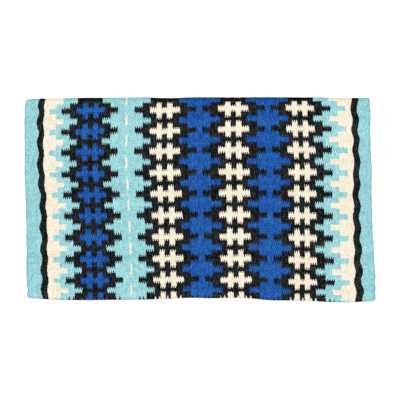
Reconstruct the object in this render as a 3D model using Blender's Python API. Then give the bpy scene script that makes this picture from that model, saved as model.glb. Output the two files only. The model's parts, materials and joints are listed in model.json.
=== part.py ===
"""Saddle blanket, woven in wool and folded once across its middle.

The cloth is a weft-faced tapestry: the warp cords run from side to side, hidden in the ribs, and the
wefts run along the blanket. Each colour area is wool of its own, which meets its neighbours at a rib
or between two picks, so each area of the top layer is a solid of its own here. The blanket lies flat
with its fold at +Y, one layer on the other. The top layer turns about the inner crease of the fold.
The layer underneath and the turn of the cloth have the two rolled borders and one plain field.
"""

import math
from enum import IntEnum

import bmesh
import bpy
from mathutils import Vector

# The weave, in metres: these four sizes drive the rest
PICK = 0.0026
RIB = 0.00664
CLOTH = 0.007
LAYER_GAP = 0.001

# Edges of the cloth
HEM_ROLL = 0.0032
HEM_CORNER = 0.009
FOLD_PINCH = 0.004
JOIN_GAP = 0.0003

# Corners nearer to a cut than this lie on it
ON_THE_CUT = 0.000003

# Counts
PICKS_ACROSS = 333
RIBS_IN_LAYER = 75
RIBS_IN_FOLD = 2
RIBS_IN_STEP = 2
ARM_RIBS = 2
BAR_RIBS = 6
CORNER_STEPS = 4
FOLD_STEPS = 8

# Share of the cloth's thickness that is left, by the share of the roll in from the edge
ROLL_SHARES = ((0.0, 0.4), (0.35, 0.8), (1.0, 1.0))


class Row(IntEnum):
    """Kinds of row of the pattern, which number the places of a colour edge."""

    MOTIF = 0
    SHOULDER = 1
    BETWEEN = 2


# The kinds in the order in which a blanket is woven from its first selvedge
REPEAT = (Row.MOTIF, Row.SHOULDER, Row.BETWEEN, Row.SHOULDER)

# Where two colours meet, in picks from the left side, at motif, shoulder and between rows
BORDER_LEFT = (15, 14, 13)
STRIPE_LEFT = (20, 19.5, 19)
CREAM_LEFT = (24, 31, 37)
CREAM_RIGHT = (308, 301, 294)
STRIPE_RIGHT = (314, 314.5, 315.5)
BORDER_RIGHT = (320, 321, 322)

# Each lattice: its middle, its half width at the three kinds of row, and its cross, all in picks:
# half the arm, how far each of the two bars is off the middle, and half a bar's width at the arm
# and at its end
LATTICES = (
    (63.5, (27, 19.5, 12), 13.5, 5, 3.2, 2.5),
    (135.5, (29.5, 21.5, 13.5), 15, 5.2, 3.2, 2),
    (201, (30, 22.5, 13), 15, 5, 3.2, 2),
    (266, (28, 20.5, 12), 14, 5, 3.2, 2),
)

CROSS_COLOURS = ("royal", "cream", "cream", "cream")

# Wool colours: linear red, green and blue
COLOURS = {
    "turquoise": (0.35, 0.68, 0.71),
    "black": (0.016, 0.018, 0.019),
    "royal": (0.018, 0.10, 0.376),
    "cream": (0.91, 0.84, 0.69),
}
WOOL_ROUGHNESS = 0.9

WIDTH = PICKS_ACROSS * PICK
LAYER_LENGTH = RIBS_IN_LAYER * RIB
OUTER_RADIUS = CLOTH + LAYER_GAP / 2
MIDDLE_RADIUS = (CLOTH + LAYER_GAP) / 2
DEPTH = LAYER_LENGTH + OUTER_RADIUS
CREASE_Y = DEPTH / 2 - OUTER_RADIUS
CREASE_Z = OUTER_RADIUS
TOP_START = RIBS_IN_LAYER + RIBS_IN_FOLD


def clear_scene():
    """Remove whatever the scene holds."""
    for thing in list(bpy.data.objects):
        bpy.data.objects.remove(thing, do_unlink=True)


def wool(colour):
    """The material of one dyed wool, made once and shared by its areas."""
    name = "wool_" + colour
    paint = bpy.data.materials.get(name)
    if paint is None:
        paint = bpy.data.materials.new(name)
        paint.use_nodes = True
        shader = paint.node_tree.nodes["Principled BSDF"]
        shader.inputs["Base Color"].default_value = (*COLOURS[colour], 1)
        shader.inputs["Roughness"].default_value = WOOL_ROUGHNESS
        shader.inputs["Metallic"].default_value = 0
    return paint


def kind_of(rib):
    """Kind of row of a rib, counted from the selvedge of the layer underneath."""
    return REPEAT[rib // RIBS_IN_STEP % len(REPEAT)]


class Run:
    """A stretch of ribs: its first rib, the way in which it counts on, and how many ribs it has."""

    def __init__(self, first, way, count):
        self.first = first
        self.way = way
        self.count = count

    def rib(self, place):
        return self.first + self.way * place

    def kind(self, place):
        return kind_of(self.rib(place))

    def middles(self, kind):
        """Places of the middle of each whole step of this kind."""
        for place in range(1, self.count):
            steps = {self.rib(place - 1) // RIBS_IN_STEP, self.rib(place) // RIBS_IN_STEP}
            if len(steps) == 1 and self.kind(place) == kind:
                yield place


TOP_RUN = Run(TOP_START, 1, RIBS_IN_LAYER)
UNDER_RUN = Run(RIBS_IN_LAYER - 1, -1, RIBS_IN_LAYER)


def stepped(edge, run):
    """A colour edge that keeps each place for one step of ribs and then jumps."""
    points = [(edge[run.kind(0)], 0)]
    for place in range(1, run.count):
        new = edge[run.kind(place)]
        if new != points[-1][0]:
            points.append((points[-1][0], place))
            points.append((new, place))
    points.append((points[-1][0], run.count))
    return points


def waved(edge, run):
    """A colour edge that swings evenly between its places at motif and between rows."""
    turns = [(edge[kind], place) for kind in (Row.MOTIF, Row.BETWEEN) for place in run.middles(kind)]
    turns.append((edge[run.kind(0)], 0))
    turns.append((edge[run.kind(run.count - 1)], run.count))
    return sorted(turns, key=lambda point: point[1])


def metres(points):
    """Picks and ribs to metres, with x from the middle of the blanket and y back from the crease."""
    return [Vector(((pick - PICKS_ACROSS / 2) * PICK, -rib * RIB)) for pick, rib in points]


def rounded_side(sign):
    """Outer side of a border in one layer, with the corner at the selvedge rounded."""
    side = sign * WIDTH / 2
    centre = Vector((side - sign * HEM_CORNER, HEM_CORNER - LAYER_LENGTH))
    points = [Vector((side, 0))]
    for step in range(CORNER_STEPS + 1):
        turn = math.pi / 2 * step / CORNER_STEPS
        points.append(centre + HEM_CORNER * Vector((sign * math.cos(turn), -math.sin(turn))))
    return points


def cross(number, place):
    """The double cross of a lattice about one rib: an arm from side to side, and two bars through it."""
    middle, _, arm, bar, root, end = LATTICES[number]
    half = ARM_RIBS / 2
    tall = BAR_RIBS / 2
    right = [(bar - root, half), (bar - end, tall), (bar + end, tall), (bar + root, half), (arm, half)]
    upper = right + [(pick, -rib) for pick, rib in reversed(right)]
    whole = upper + [(-pick, -rib) for pick, rib in upper]
    return [(middle + pick, place + rib) for pick, rib in whole]


def wound(points, outer):
    """The loop turned so that its wool is on the left of the way round."""
    area = sum(a.cross(b) for a, b in zip(points, points[1:] + points[:1]))
    if (area > 0) == outer:
        return points
    return points[::-1]


def drawn_in(points):
    """The loop moved into its own wool by half of the gap between two areas."""
    moved = []
    for index, point in enumerate(points):
        into = (point - points[index - 1]).normalized()
        onward = (points[(index + 1) % len(points)] - point).normalized()
        first = Vector((-into.y, into.x))
        second = Vector((-onward.y, onward.x))
        moved.append(point + (first + second) * (JOIN_GAP / 2) / (1 + first.dot(second)))
    return moved


def add_slab(mesh, outline, holes, low, high):
    """One closed slab between two heights, with its holes."""
    loops = [drawn_in(wound(outline, True))]
    loops += [drawn_in(wound(hole, False)) for hole in holes]
    rims = []
    for loop in loops:
        corners = [mesh.verts.new((point.x, point.y, low)) for point in loop]
        rims.append(corners)
    if holes:
        edges = []
        for corners in rims:
            edges += [mesh.edges.new(pair) for pair in zip(corners, corners[1:] + corners[:1])]
        filled = bmesh.ops.triangle_fill(mesh, use_beauty=True, edges=edges, normal=(0, 0, 1))
        faces = [part for part in filled["geom"] if isinstance(part, bmesh.types.BMFace)]
    else:
        faces = [mesh.faces.new(rims[0])]
    grown = bmesh.ops.extrude_face_region(mesh, geom=faces)
    raised = [part for part in grown["geom"] if isinstance(part, bmesh.types.BMVert)]
    bmesh.ops.translate(mesh, vec=(0, 0, high - low), verts=raised)


def cut(mesh, point, normal):
    """Cut every face along a plane, and keep both sides."""
    parts = mesh.verts[:] + mesh.edges[:] + mesh.faces[:]
    bmesh.ops.bisect_plane(mesh, geom=parts, dist=ON_THE_CUT, plane_co=point, plane_no=normal)


def thickness_share(distance):
    """Share of the thickness left at a distance in from the edge of the cloth."""
    place = distance / HEM_ROLL
    for (near, thin), (far, full) in zip(ROLL_SHARES, ROLL_SHARES[1:]):
        if place <= far:
            return thin + (full - thin) * (place - near) / (far - near)
    return ROLL_SHARES[-1][1]


def roll_edges(mesh, middle, has_selvedge):
    """Round the long sides of the cloth, and its woven end where the layer has one."""
    end = JOIN_GAP / 2 - LAYER_LENGTH
    side = WIDTH / 2 - JOIN_GAP / 2
    for share, _ in ROLL_SHARES[1:]:
        inset = share * HEM_ROLL
        cut(mesh, (inset - side, 0, 0), (1, 0, 0))
        cut(mesh, (side - inset, 0, 0), (1, 0, 0))
        if has_selvedge:
            cut(mesh, (0, end + inset, 0), (0, 1, 0))
    for vert in mesh.verts:
        inward = side - abs(vert.co.x)
        if has_selvedge:
            inward = min(inward, vert.co.y - end)
        vert.co.z = middle + (vert.co.z - middle) * thickness_share(max(inward, 0))


def bend(mesh):
    """Wrap the flat strip of the fold round the crease, from the layer underneath to the top one."""
    length = RIBS_IN_FOLD * RIB
    for step in range(1, FOLD_STEPS):
        cut(mesh, (0, -length * step / FOLD_STEPS, 0), (0, 1, 0))
    for vert in mesh.verts:
        turn = -vert.co.y / length * math.pi
        radius = MIDDLE_RADIUS + vert.co.z
        pinch = FOLD_PINCH * math.sin(turn) ** 2
        if abs(vert.co.x) > WIDTH / 2 - HEM_ROLL - JOIN_GAP:
            vert.co.x -= math.copysign(pinch, vert.co.x)
        vert.co.y = radius * math.sin(turn)
        vert.co.z = -radius * math.cos(turn)


def place_at_crease(name):
    """An empty on the line about which the top layer turns."""
    empty = bpy.data.objects.new(name, None)
    empty.location = (0, CREASE_Y, CREASE_Z)
    bpy.context.collection.objects.link(empty)
    return empty


def add_node(name, mesh, colour, holder):
    """Close the mesh into a named object of one wool, carried by its layer."""
    bmesh.ops.recalc_face_normals(mesh, faces=mesh.faces[:])
    data = bpy.data.meshes.new(name)
    mesh.to_mesh(data)
    mesh.free()
    data.materials.append(wool(colour))
    node = bpy.data.objects.new(name, data)
    node.parent = holder
    bpy.context.collection.objects.link(node)


def lattice_edge(number, sign):
    """Left or right edge of a lattice, in picks, at the three kinds of row."""
    middle, halves, *_ = LATTICES[number]
    return tuple(middle + sign * half for half in halves)


def bands():
    """Every band from left to right: name, colour, and each side's edge with the way it is drawn."""
    sides = [(lattice_edge(number, -1), lattice_edge(number, 1)) for number in range(len(LATTICES))]
    first, second, third, fourth = sides
    return (
        ("border_left", "turquoise", None, (BORDER_LEFT, waved)),
        ("stripe_left", "black", (BORDER_LEFT, waved), (STRIPE_LEFT, waved)),
        ("cream_left", "cream", (STRIPE_LEFT, waved), (CREAM_LEFT, stepped)),
        ("turquoise_left", "turquoise", (CREAM_LEFT, stepped), (first[0], stepped)),
        ("lattice_1", "black", (first[0], stepped), (first[1], stepped)),
        ("turquoise_middle", "turquoise", (first[1], stepped), (second[0], stepped)),
        ("lattice_2", "black", (second[0], stepped), (second[1], stepped)),
        ("royal_1", "royal", (second[1], stepped), (third[0], stepped)),
        ("lattice_3", "black", (third[0], stepped), (third[1], stepped)),
        ("royal_2", "royal", (third[1], stepped), (fourth[0], stepped)),
        ("lattice_4", "black", (fourth[0], stepped), (fourth[1], stepped)),
        ("turquoise_right", "turquoise", (fourth[1], stepped), (CREAM_RIGHT, stepped)),
        ("cream_right", "cream", (CREAM_RIGHT, stepped), (STRIPE_RIGHT, waved)),
        ("stripe_right", "black", (STRIPE_RIGHT, waved), (BORDER_RIGHT, waved)),
        ("border_right", "turquoise", (BORDER_RIGHT, waved), None),
    )


def loop_of(left, right, run):
    """Both sides of a band joined into one loop, in metres. A side is an edge and the way to draw it."""
    down = rounded_side(-1) if left is None else metres(left[1](left[0], run))
    up = rounded_side(1) if right is None else metres(right[1](right[0], run))
    return down + up[::-1]


def build_top_layer(holder):
    """The half that lies on top: every band, and the crosses let into the lattices."""
    low = LAYER_GAP / 2
    high = low + CLOTH
    middles = list(TOP_RUN.middles(Row.MOTIF))
    for name, colour, left, right in bands():
        holes = []
        if name.startswith("lattice"):
            number = int(name[-1]) - 1
            holes = [metres(cross(number, middle)) for middle in middles]
        mesh = bmesh.new()
        add_slab(mesh, loop_of(left, right, TOP_RUN), holes, low, high)
        roll_edges(mesh, (low + high) / 2, True)
        add_node("top_" + name, mesh, colour, holder)
    for number, colour in enumerate(CROSS_COLOURS):
        for row, middle in enumerate(middles):
            mesh = bmesh.new()
            add_slab(mesh, metres(cross(number, middle)), [], low, high)
            add_node(f"top_cross_{number + 1}_{row + 1}", mesh, colour, holder)


def build_under_layer(holder):
    """The half that lies underneath."""
    high = -LAYER_GAP / 2
    low = high - CLOTH
    left = (BORDER_LEFT, waved)
    right = (BORDER_RIGHT, waved)
    pieces = (
        ("border_left", "turquoise", None, left),
        ("field", "black", left, right),
        ("border_right", "turquoise", right, None),
    )
    for name, colour, start, end in pieces:
        mesh = bmesh.new()
        add_slab(mesh, loop_of(start, end, UNDER_RUN), [], low, high)
        roll_edges(mesh, (low + high) / 2, True)
        add_node("under_" + name, mesh, colour, holder)


def build_fold(holder):
    """The turn of the cloth round the crease, from the layer underneath to the top one."""
    left = BORDER_LEFT[Row.SHOULDER]
    right = BORDER_RIGHT[Row.SHOULDER]
    pieces = (
        ("border_left", "turquoise", 0, left),
        ("field", "black", left, right),
        ("border_right", "turquoise", right, PICKS_ACROSS),
    )
    for name, colour, start, end in pieces:
        mesh = bmesh.new()
        corners = [(start, 0), (start, RIBS_IN_FOLD), (end, RIBS_IN_FOLD), (end, 0)]
        add_slab(mesh, metres(corners), [], -CLOTH / 2, CLOTH / 2)
        roll_edges(mesh, 0, False)
        bend(mesh)
        add_node("fold_" + name, mesh, colour, holder)


clear_scene()
under_layer = place_at_crease("under_layer")
top_layer = place_at_crease("top_layer")
build_under_layer(under_layer)
build_fold(under_layer)
build_top_layer(top_layer)
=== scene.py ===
# %% [markdown]
# # A folded saddle blanket, woven float by float
#
# The real thing is a heavy tapestry of wool. Hidden warp cords run from side to side, and thick wefts run
# along the blanket, over and under them, beaten together so hard that only the wefts show. Each visible bit
# of weft is a small spindle, a float, that arches over one cord. A colour area is a group of floats of one
# wool. A picture mapped on a slab would show the pattern but not the pointed joins, the grooves and the
# rolled hems, so this script builds the floats themselves, as mesh, and gives each wool its own material.
#
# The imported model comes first. It holds the size, the fold's place and the bodies that move. Nothing that
# follows leaves its box by more than the outline of a cloth woven by hand strays, about a centimetre.

import json
import math

import bpy
import numpy as np
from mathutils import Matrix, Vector


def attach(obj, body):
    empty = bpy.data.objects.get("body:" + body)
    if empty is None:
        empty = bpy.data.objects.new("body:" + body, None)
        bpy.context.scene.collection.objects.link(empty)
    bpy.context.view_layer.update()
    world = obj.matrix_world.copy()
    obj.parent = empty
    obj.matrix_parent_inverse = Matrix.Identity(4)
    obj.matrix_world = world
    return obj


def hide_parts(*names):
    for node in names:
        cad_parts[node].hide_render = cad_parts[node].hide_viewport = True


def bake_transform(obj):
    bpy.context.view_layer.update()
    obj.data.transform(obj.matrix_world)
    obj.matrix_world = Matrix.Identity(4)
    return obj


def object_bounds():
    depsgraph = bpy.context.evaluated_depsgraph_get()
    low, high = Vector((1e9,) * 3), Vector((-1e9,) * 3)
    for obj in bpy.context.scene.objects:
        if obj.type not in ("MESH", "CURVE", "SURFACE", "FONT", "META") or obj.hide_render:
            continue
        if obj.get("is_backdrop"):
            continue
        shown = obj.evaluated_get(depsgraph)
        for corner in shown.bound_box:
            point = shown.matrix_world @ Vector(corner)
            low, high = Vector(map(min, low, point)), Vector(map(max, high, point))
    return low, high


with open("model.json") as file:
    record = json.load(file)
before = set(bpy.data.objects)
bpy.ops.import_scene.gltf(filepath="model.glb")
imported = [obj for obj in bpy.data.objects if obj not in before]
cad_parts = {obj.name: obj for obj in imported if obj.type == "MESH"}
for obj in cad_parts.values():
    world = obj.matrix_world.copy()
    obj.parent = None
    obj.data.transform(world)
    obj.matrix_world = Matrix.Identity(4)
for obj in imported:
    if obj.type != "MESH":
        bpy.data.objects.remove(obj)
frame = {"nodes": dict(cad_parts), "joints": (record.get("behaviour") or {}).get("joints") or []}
cad_low, cad_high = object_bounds()
print("CAD box:", [round(side, 4) for side in cad_high - cad_low])

# %% [markdown]
# ## Camera
#
# The blanket was photographed lying flat, from straight above, and from far enough away that its sides
# stay parallel. A long lens on a high camera gives the same view. One pixel of the 400 is 2.5 mm of cloth,
# and the camera stands a little to one side because the blanket lies a little off the middle of the photo.

# %% Camera
FRAME_WIDTH = 0.9995
CAMERA_HEIGHT = 4
CAMERA_ASIDE = (0.0034, -0.0039)
CLOTH_TOP = 0.015

lens = bpy.data.cameras.new("camera")
camera = bpy.data.objects.new("camera", lens)
bpy.context.scene.collection.objects.link(camera)
bpy.context.scene.camera = camera
lens.sensor_width = 36
lens.lens = lens.sensor_width * (CAMERA_HEIGHT - CLOTH_TOP) / FRAME_WIDTH
lens.clip_end = 100
camera.location = (*CAMERA_ASIDE, CAMERA_HEIGHT)
print("lens:", round(lens.lens, 1), "mm")

# %% [markdown]
# ## Sizes of the weave
#
# A weaver counts in two units. Across the blanket a place is counted in picks, each half as wide as a
# float, because floats on one rib lie two picks apart and those on the next rib fill the places between.
# Along the blanket a place is counted in ribs, one to each cord. The whole blanket has 154 ribs: 76 in the
# layer underneath, 2 in the turn of the fold, and 76 in the layer on top.

# %% Sizes and counts
PICK = 0.0026
RIB = 0.00655
PICKS = 333
RIBS = 154
FOLD_FIRST = 76
FOLD_END = 78
CLOTH = 0.007
LAYER_GAP = 0.001
MIDDLE_RADIUS = (CLOTH + LAYER_GAP) / 2
CREASE = Vector(frame["joints"][0]["pos_m"])
WIDTH = PICKS * PICK

print("crease at", [round(side, 5) for side in CREASE])
print("blanket opened out:", round(WIDTH, 3), "by", round(RIBS * RIB, 3), "m")

# %% [markdown]
# ## Pattern
#
# The pattern repeats every eight ribs in steps of two: a motif step, a shoulder, a step between motifs and
# a shoulder again. Each colour edge therefore needs three places only, one for each kind of step, in picks
# from the left. Lists of such places are how a weaver writes the pattern down, and they stay easy to
# change. The crosses and the cream dashes are inlaid: they are looked up after the bands.

# %% Pattern of bands
MOTIF, SHOULDER, BETWEEN = 0, 1, 2
STEPS = (MOTIF, SHOULDER, BETWEEN, SHOULDER)
# In ribs: one repeat, and where in it the middles of the motif step and of the step between lie
REPEAT = 8
MOTIF_MIDDLE, BETWEEN_MIDDLE = 1, 5
BANDS = (
    ("border_left", "turquoise", (14, 14, 14)),
    ("stripe_left", "black", (20, 20, 20)),
    ("cream_left", "cream", (25, 31, 38)),
    ("turquoise_left", "turquoise", (36, 44, 51)),
    ("lattice_1", "black", (90, 83, 75)),
    ("turquoise_middle", "turquoise", (106, 114, 122)),
    ("lattice_2", "black", (165, 157, 149)),
    ("royal_1", "royal", (171, 179, 189)),
    ("lattice_3", "black", (232, 224, 214)),
    ("royal_2", "royal", (238, 246, 255)),
    ("lattice_4", "black", (295, 287, 279)),
    ("turquoise_right", "turquoise", (309, 301, 293)),
    ("cream_right", "cream", (315, 315, 315)),
    ("stripe_right", "black", (321, 321, 321)),
    ("border_right", "turquoise", (400, 400, 400)),
)
# Middle of each lattice's crosses and half an arm
CROSSES = (
    ("cross_1", "royal", 63.5, 13.5),
    ("cross_2", "cream", 135.5, 15),
    ("cross_3", "cream", 201.5, 15),
    ("cross_4", "cream", 266.5, 14),
)
# The two bars of a cross: how far they are off its middle, and half their width
BAR = (5, 2.6)
# A dash, at its inner ribs and at its two end ribs: its middle and half its width
DASH_INNER = (99, 1)
DASH_END = (98.5, 0.5)
# How many ribs each figure reaches from the middle of its row, up or down
ARM_REACH, BAR_REACH, DASH_INNER_REACH, DASH_REACH = 1, 3, 2, 3
# A distance, in ribs, at which a cross has its bars but no arm
PAST_THE_ARM = 1.5
AREAS = [(name, wool) for name, wool, _ in BANDS]
AREAS += [(name, wool) for name, wool, *_ in CROSSES]
AREAS.append(("dashes", "cream"))
FIRST_CROSS = len(BANDS)
DASHES = len(AREAS) - 1
print(len(AREAS), "colour areas in a layer")

# %% [markdown]
# ## Which wool lies where
#
# One function answers for every half of a float: at this place across and this rib, which area is it? The
# question is asked for halves, because a colour edge along the wefts is straight and may fall on the middle
# of a float. On the very last rib only every second float still shows the motif, so it ends in single drops.

# %% Look up the area of each float
def from_row(row, middle):
    """How many ribs the middle of a rib is from the nearest row of figures with this middle."""
    return np.abs((row + 0.5 - middle + REPEAT / 2) % REPEAT - REPEAT / 2)


def area_of(middle, rib):
    """Number of the area at a place across and a rib."""
    row = rib - 1
    skipped = (rib >= RIBS - 1) & (middle // 2 % 2 == 0)
    kind = np.where(skipped, SHOULDER, np.array(STEPS)[row // 2 % 4])
    ends = np.array([places for _, _, places in BANDS], float)
    area = (middle[None, :] >= ends[:, kind]).sum(axis=0)
    from_motif = np.where(skipped, PAST_THE_ARM, from_row(row, MOTIF_MIDDLE))
    for number, (_, _, centre, arm) in enumerate(CROSSES):
        off = np.abs(middle - centre)
        in_arm = (from_motif < ARM_REACH) & (off < arm)
        in_bar = (from_motif < BAR_REACH) & (np.abs(off - BAR[0]) < BAR[1])
        area[in_arm | in_bar] = FIRST_CROSS + number
    from_between = from_row(row, BETWEEN_MIDDLE)
    dash, dash_half = np.where(from_between[:, None] < DASH_INNER_REACH, DASH_INNER, DASH_END).T
    area[(from_between < DASH_REACH) & (np.abs(middle - dash) < dash_half)] = DASHES
    return area


print("area at 200, rib 100:", AREAS[area_of(np.array([200.5]), np.array([100]))[0]][0])

# %% [markdown]
# ## One float
#
# Seen from above a float is a short bar with rounded ends. It is widest over its cord, and each end slips
# like a finger between two floats of the next rib. Such bars tile the cloth without gaps if the outline is
# the same when it is turned about the middle of a gap: each point of the outline below is met by a point
# of the next float. A third number per point says how high it stands, from 0 in the groove to 1 on the
# crown.

# %% The float's template
TEMPLATE = np.array([
    (0, 0, 1),
    (-1, -0.13, 0.15), (-1, 0.13, 0.15), (1, -0.13, 0.15), (1, 0.13, 0.15),
    (-0.61, -0.25, 0.12), (0, -0.25, 0.95), (0.61, -0.25, 0.12),
    (-0.61, 0.25, 0.12), (0, 0.25, 0.95), (0.61, 0.25, 0.12),
    (-0.5, -0.5, 0), (0, -0.5, 0.7), (0.5, -0.5, 0),
    (-0.5, 0.5, 0), (0, 0.5, 0.7), (0.5, 0.5, 0),
    (-0.39, -0.75, 0.12), (0, -0.75, 0.4), (0.39, -0.75, 0.12),
    (-0.39, 0.75, 0.12), (0, 0.75, 0.4), (0.39, 0.75, 0.12),
    (0, -0.87, 0.15), (0, 0.87, 0.15),
])


def float_triangles():
    """Triangles of the template, the part each belongs to (-1, 0 or 1) and the half (-1 or 1)."""
    ring = (6, 7, 3, 4, 10, 9, 8, 2, 1, 5)
    triangles = [(0, ring[i], ring[(i + 1) % 10]) for i in range(10)]
    for a in (11, 12):
        triangles += [(a, a + 1, a - 5), (a, a - 5, a - 6)]
        triangles += [(a - 3, a - 2, a + 4), (a - 3, a + 4, a + 3)]
    parts = [0] * len(triangles)
    for a in (17, 18):
        triangles += [(a, a + 1, a - 5), (a, a - 5, a - 6), (a, 23, a + 1)]
        triangles += [(a - 3, a - 2, a + 4), (a - 3, a + 4, a + 3), (a + 3, a + 4, 24)]
        parts += [-1, -1, -1, 1, 1, 1]
    triangles = np.array(triangles)
    sides = np.sign(TEMPLATE[triangles, 0].sum(axis=1))
    return triangles, np.array(parts), sides


TEMPLATE_TRIANGLES, TEMPLATE_PARTS, TEMPLATE_HALVES = float_triangles()
print("a float has", len(TEMPLATE), "points and", len(TEMPLATE_TRIANGLES), "triangles")

# %% [markdown]
# ## Where the cloth goes
#
# The floats are laid out on a flat chart, in picks and ribs, and a second function carries any point of the
# chart into space. It does what the real cloth does: it rolls the wefts round the side hems, turns them
# round the last cord at each end, bends the cloth round the fold, and lets rows and columns drift as they do
# in a hand-beaten web. The drifts were measured on the photograph, in millimetres.

# %% Drift of columns and rows
ASIDE_PICKS = (0, 14, 20, 45, 62, 81, 96, 115, 134, 152, 168, 187, 221, 240, 274, 293, 307, 315, 321, 333)
DOWN_PICKS = (0, 31, 62, 96, 134, 168, 187, 221, 240, 274, 307, 333)
DRIFT_RIBS = (3, 11, 19, 27, 35, 51, 66, 72)
DRIFT_ASIDE = (
    (-2.3, -5.8, -4.0, -2.4, -0.9, -1.8, -2.4, -3.1, -5.4, -4.0)
    + (-1.1, -4.2, -4.5, -6.3, -7.7, -3.7, -4.4, -4.4, -4.1, -3.7),
    (-2.9, -5.5, -4.6, -4.6, -3.5, -3.2, -2.5, -3.0, -4.9, -2.8)
    + (-1.2, -4.9, -1.5, -5.0, -5.4, -1.5, -1.6, -1.9, -2.2, -3.3),
    (-2.6, -5.7, -5.6, -4.0, -3.7, -4.2, -3.9, -4.2, -5.7, -3.1)
    + (-1.6, -3.8, -3.1, -2.4, -3.7, -1.0, 2.1, 0.3, -0.3, -3.4),
    (-2.7, -5.0, -4.2, -5.0, -3.7, -2.5, -2.1, -4.1, -5.0, -2.1)
    + (-0.9, -3.0, -0.2, 0.9, -0.2, 1.1, 2.3, 2.2, 0.9, 1.0),
    (-0.2, -0.6, 0.3, 0.8, 1.9, 1.3, 1.4, -1.5, -2.8, 1.3)
    + (0.0, -2.5, 1.1, -0.3, -1.8, 1.3, 0.9, 0.1, 0.4, -1.1),
    (2.4, 2.3, 4.3, 5.1, 5.5, 6.7, 6.8, 3.1, 0.7, 4.4)
    + (2.2, -0.1, 2.5, 1.8, -0.9, 1.6, 3.7, 3.0, 3.3, 2.8),
    (2.2, 3.6, 5.3, 7.6, 8.5, 10.2, 10.7, 5.5, 3.4, 6.2)
    + (5.0, 2.4, 4.6, 1.4, -0.6, 6.1, 7.3, 5.0, 6.4, 8.7),
    (3.6, 4.0, 6.3, 8.9, 9.8, 9.4, 10.4, 5.8, 4.6, 6.7)
    + (5.4, 1.7, 5.3, 1.4, -0.5, 6.0, 8.5, 7.2, 9.4, 9.7),
)
DRIFT_DOWN = (
    (1.9, 2.2, -2.1, -2.9, -1.2, -6.2, -6.2, -7.6, -7.8, -7.4, -5.2, -2.0),
    (6.4, 1.2, 0.2, -4.7, -1.1, -4.8, -5.8, -8.8, -8.3, -8.4, -7.3, -2.7),
    (0.0, 0.9, -2.1, -5.2, -3.8, -7.8, -8.0, -7.4, -9.4, -7.5, -6.8, -8.5),
    (3.0, 3.2, 0.7, -0.3, -3.0, -3.9, -4.9, -3.9, -4.8, -3.8, -2.1, -0.1),
    (4.8, 0.7, 0.1, -1.1, -2.7, -4.1, -5.0, -4.6, -4.5, -2.9, 0.4, 1.2),
    (6.2, 2.0, 2.0, 1.1, 0.6, -2.3, -0.3, -1.4, 0.2, 2.7, 5.1, 6.4),
    (1.0, 6.5, 5.9, 3.5, 3.5, 0.9, 4.6, 2.1, 6.8, 9.8, 11.8, 4.1),
    (-1.5, 3.4, 4.0, 1.9, 1.9, -1.1, 1.9, 2.2, 6.1, 6.4, 9.1, 2.4),
)
# Drift down at the first rib beside the fold
FIRST_DOWN = (2.7, 3.1, 0.2, -0.9, 0.1, -1.7, -2.8, -3.7, -4.3, -5.2, -5.2, -4.8)
# How far the woven end is drawn in
END_PICKS = (0, 10, 25, 50, 90, 118, 137, 156, 176, 195, 214, 233, 252, 270, 290, 310, 325, 333)
END_DRIFT = (5, 2.5, -0.5, -1.5, -0.5, 0.3, 1.8, 5, 3.2, 4.3, 3.7, -2, -2.2, -3, -6, -7.5, -4.5, -3)
# How far the fold bulges, as a share of its radius
FOLD_PICKS = (
    (0, 4, 12, 20, 32, 44, 60, 75, 92, 112, 128, 144, 152, 161)
    + (175, 200, 216, 225, 237, 246, 267, 278, 302, 315, 322, 328, 333)
)
FOLD_BULGE = (
    (0.5, 0.6, 0.75, 0.85, 0.86, 0.97, 1.1, 1.07, 1.2, 1.25, 1.1, 0.95, 1.1, 1.28)
    + (1.28, 1.24, 1.28, 1.33, 1.32, 1.27, 1.28, 1.22, 1.13, 1.02, 1.0, 1.05, 1.2)
)
MM = 0.001
EASED_SHARE, EASED_STEPS = 0.35, 5


def eased(x, places, values):
    """Values between the named places, with the corners of the line rounded off."""
    reach = EASED_SHARE * np.median(np.diff(places))
    shifts = np.linspace(-reach, reach, EASED_STEPS)
    return sum(np.interp(x + shift, places, values) for shift in shifts) / len(shifts)


def drift(chart, columns, pick, place):
    """Drift in metres at a pick and a number of ribs from the crease."""
    rows = np.array([np.interp(pick, columns, row) for row in chart])
    here = np.clip(place, DRIFT_RIBS[0], DRIFT_RIBS[-1])
    after = np.clip(np.searchsorted(DRIFT_RIBS, here, side="right"), 1, len(DRIFT_RIBS) - 1)
    span = np.array(DRIFT_RIBS, float)
    share = (here - span[after - 1]) / (span[after] - span[after - 1])
    index = np.arange(len(here))
    return ((1 - share) * rows[after - 1, index] + share * rows[after, index]) * MM


corner_drift = drift(DRIFT_ASIDE, ASIDE_PICKS, np.array([330.0]), np.array([74.0]))
print("drift aside at the lower right corner:", corner_drift.round(4), "m")

# %% [markdown]
# On top of the slow drift no weft is quite straight. A chart of random numbers, smoothed a little along the
# wefts and across them, moves most floats by less than half a millimetre and a few by more than one. A
# second chart shifts the points of the floats along the weft, so that the teeth of a join come out long
# and short, as a hand leaves them. The random numbers are seeded, so every run weaves the same blanket.

# %% Small wander
WANDER_ASIDE = 0.00038
WANDER_DOWN = 0.00042
TOOTH_SPREAD, TOOTH_MOST = 0.08, 0.16

chance = np.random.default_rng(11)


def smoothed(chart, across, along):
    """The chart averaged over a few picks and ribs, brought back to a spread of one."""
    for axis, reach in ((0, across), (1, along)):
        chart = sum(np.roll(chart, step, axis) for step in range(-reach, reach + 1))
    return chart / chart.std()


WANDER_X = smoothed(chance.normal(0, 1, (PICKS + 3, RIBS + 2)), 1, 1) * WANDER_ASIDE
WANDER_Y = smoothed(chance.normal(0, 1, (PICKS + 3, RIBS + 2)), 3, 0) * WANDER_DOWN
TOOTH = np.clip(chance.normal(0, TOOTH_SPREAD, (PICKS + 3, RIBS + 4)), -TOOTH_MOST, TOOTH_MOST)


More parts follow.
